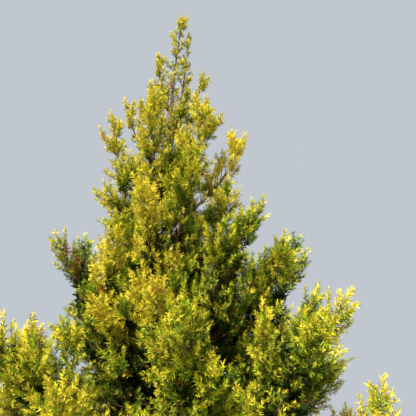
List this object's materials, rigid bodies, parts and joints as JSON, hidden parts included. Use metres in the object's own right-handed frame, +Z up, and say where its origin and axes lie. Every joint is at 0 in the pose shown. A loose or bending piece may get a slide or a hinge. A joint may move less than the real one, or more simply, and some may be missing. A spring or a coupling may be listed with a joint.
{
  "type": "cypress tree",
  "caption": "Conical garden cypress with upswept boughs and feathery yellow-green plumes round one trunk, rooted in the ground.",
  "frame": {"origin": "middle of the flat cut under the trunk, at ground level", "axes": "+Z up along the trunk, +X to the right of the tree as the picture shows it, -Y towards the front"},
  "size_m": [2.8641, 2.6915, 4.6737],
  "materials": {
    "bark": "rough red-brown bark in shallow strips",
    "foliage": "matt yellow-green scale leaves, gold at the tips"
  },
  "bodies": {
    "root": {"bough_low_back_left": "bark", "bough_low_back_right": "bark", "bough_low_front": "bark", "bough_low_front_left": "bark", "bough_low_front_right": "bark", "bough_low_left": "bark", "bough_low_right": "bark", "bough_middle_back_left": "bark", "bough_middle_back_right": "bark", "bough_middle_front": "bark", "bough_middle_front_left": "bark", "bough_middle_front_right": "bark", "bough_middle_left": "bark", "bough_middle_right": "bark", "bough_second_leader": "bark", "bough_shoulder_right": "bark", "bough_skirt_back_left": "bark", "bough_skirt_back_right": "bark", "bough_skirt_front_left": "bark", "bough_skirt_front_right": "bark", "bough_skirt_right": "bark", "foliage_apex": "foliage", "foliage_crest_front_left": "foliage", "foliage_crest_left": "foliage", "foliage_crest_right": "foliage", "foliage_high_back": "foliage", "foliage_high_front": "foliage", "foliage_high_front_right": "foliage", "foliage_high_left": "foliage", "foliage_high_right": "foliage", "foliage_low_back_left": "foliage", "foliage_low_back_right": "foliage", "foliage_low_front": "foliage", "foliage_low_front_left": "foliage", "foliage_low_front_right": "foliage", "foliage_low_left": "foliage", "foliage_low_right": "foliage", "foliage_middle_back_left": "foliage", "foliage_middle_back_right": "foliage", "foliage_middle_front": "foliage", "foliage_middle_front_left": "foliage", "foliage_middle_front_right": "foliage", "foliage_middle_left": "foliage", "foliage_middle_right": "foliage", "foliage_second_leader": "foliage", "foliage_shoulder_right": "foliage", "foliage_skirt_back_left": "foliage", "foliage_skirt_back_right": "foliage", "foliage_skirt_front_left": "foliage", "foliage_skirt_front_right": "foliage", "foliage_skirt_right": "foliage", "foliage_top_left": "foliage", "foliage_top_right": "foliage", "foliage_top_shoot_left": "foliage", "foliage_upper_back": "foliage", "foliage_upper_front": "foliage", "foliage_upper_front_left": "foliage", "foliage_upper_left": "foliage", "foliage_upper_right": "foliage", "trunk": "bark"}
  },
  "joints": []
}
